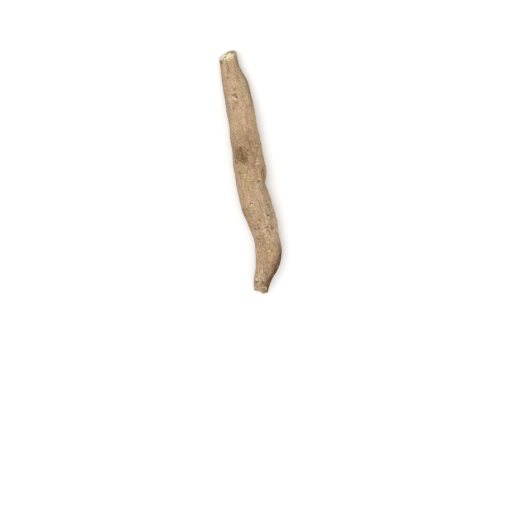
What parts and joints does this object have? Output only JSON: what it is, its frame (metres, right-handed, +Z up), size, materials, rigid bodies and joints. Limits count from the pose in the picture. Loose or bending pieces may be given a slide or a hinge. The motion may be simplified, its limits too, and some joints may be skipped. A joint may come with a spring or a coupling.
{
  "type": "ashwagandha root",
  "caption": "Dried ashwagandha root, a crooked tapering stick with a knife-cut end, a snapped end, wrinkled tan bark and rootlet scars, lying on its side.",
  "frame": {"origin": "on the table under the middle of the root's bounding box", "axes": "+X along the root, from its knife-cut end to its snapped end; +Y across it; +Z up from the table it lies on"},
  "size_m": [0.0844, 0.012, 0.0094],
  "materials": {
    "root_bark": "dry, matt, greyish tan bark with fine wrinkles"
  },
  "bodies": {
    "root": {"ashwagandha_root": "root_bark"}
  },
  "joints": []
}
